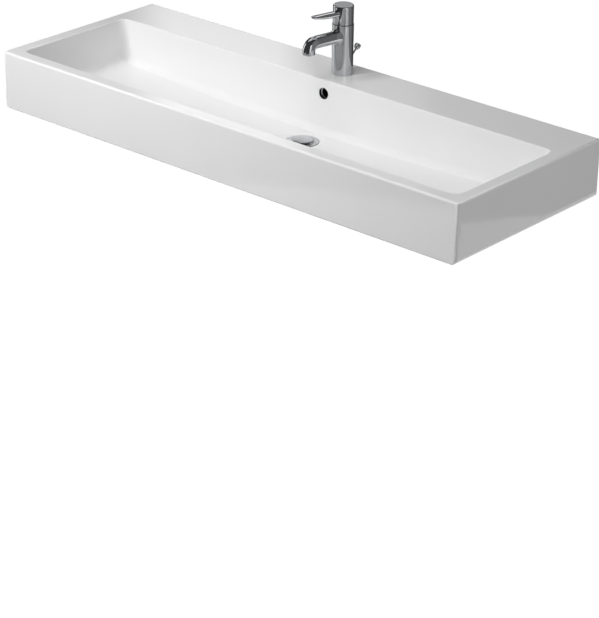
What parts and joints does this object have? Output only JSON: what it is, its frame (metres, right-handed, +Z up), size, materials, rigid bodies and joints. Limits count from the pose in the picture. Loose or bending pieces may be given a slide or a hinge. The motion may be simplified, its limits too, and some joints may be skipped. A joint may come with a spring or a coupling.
{
  "type": "wall-hung trough washbasin with mixer and pop-up waste",
  "caption": "Long rectangular white ceramic washbasin hung on a wall, with a chrome single-lever mixer, an overflow and a pop-up waste worked by a lift knob.",
  "frame": {"origin": "On the wall plane, midway between the outer wall fixings, 65 mm below the rim, on the basin's centre line.", "axes": "X to the right seen from the front, Y into the wall so the basin's front faces -Y, Z up."},
  "size_m": [1.2, 0.5, 0.404],
  "materials": {
    "ceramic": "glazed white vitreous china",
    "chrome": "polished chrome plate",
    "brass": "turned brass",
    "steel": "zinc-plated steel",
    "rubber": "black rubber",
    "white_plastic": "white moulded plastic",
    "grey_plastic": "grey moulded plastic"
  },
  "bodies": {
    "basin_unit": {"basin": "ceramic", "overflow_duct": "ceramic", "overflow_ring": "chrome", "wall_studs": "steel", "stud_sleeves": "white_plastic", "stud_washers": "steel", "stud_nuts": "steel", "mixer_body": "chrome", "base_gasket": "rubber", "mixer_stud": "steel", "clamp_gasket": "rubber", "clamp_plate": "steel", "mixer_nut": "brass", "aerator_housing": "chrome", "aerator_insert": "grey_plastic", "aerator_seal": "rubber", "cartridge_sleeve": "white_plastic", "cartridge_seals": "rubber", "cartridge_nut": "brass", "waste_flange": "chrome", "flange_gasket": "rubber", "waste_body": "chrome", "lower_gasket": "rubber", "waste_nut": "brass", "tailpiece": "chrome", "pivot_seals": "white_plastic", "pivot_gland": "grey_plastic", "pivot_nut": "chrome"},
    "swivel": {"swivel_carrier": "brass"},
    "handle": {"lever": "chrome", "lever_yoke": "steel", "yoke_screws": "steel", "lever_pin": "steel"},
    "stem": {"lift_stem": "brass", "stem_seals": "rubber"},
    "pull_rod": {"lift_rod": "chrome", "lift_knob": "chrome", "link_strap": "steel", "strap_screw": "brass"},
    "pivot": {"pivot_rod": "steel", "spring_clip": "steel"},
    "stopper": {"plug": "chrome", "plug_seal": "rubber"}
  },
  "joints": [
    {"name": "lever_swing", "type": "hinge", "parent": "basin_unit", "child": "swivel", "pos_m": [0, -0.057, 0.173], "axis": [0, 0, 1], "range_deg": [-50, 50]},
    {"name": "lever_lift", "type": "hinge", "parent": "swivel", "child": "handle", "pos_m": [0, -0.0435, 0.1768], "axis": [-1, 0, 0], "range_deg": [0, 20]},
    {"name": "stem_lift", "type": "slide", "parent": "swivel", "child": "stem", "axis": [0, 0, 1], "range_m": [0, 0.0055]},
    {"name": "knob_lift", "type": "slide", "parent": "basin_unit", "child": "pull_rod", "axis": [0, 0, 1], "range_m": [0, 0.024]},
    {"name": "pivot_swing", "type": "hinge", "parent": "basin_unit", "child": "pivot", "pos_m": [0, -0.152, -0.121], "axis": [1, 0, 0], "range_deg": [0, 12.44]},
    {"name": "stopper_drop", "type": "slide", "parent": "basin_unit", "child": "stopper", "axis": [0, 0, -1], "range_m": [0, 0.00545]}
  ],
  "couplings": [
    {"joint": "stem_lift", "follows": "lever_lift", "m_per_rad": 0.015676},
    {"joint": "pivot_swing", "follows": "knob_lift", "rad_per_m": 9.0429},
    {"joint": "stopper_drop", "follows": "knob_lift", "ratio": 0.22696}
  ]
}
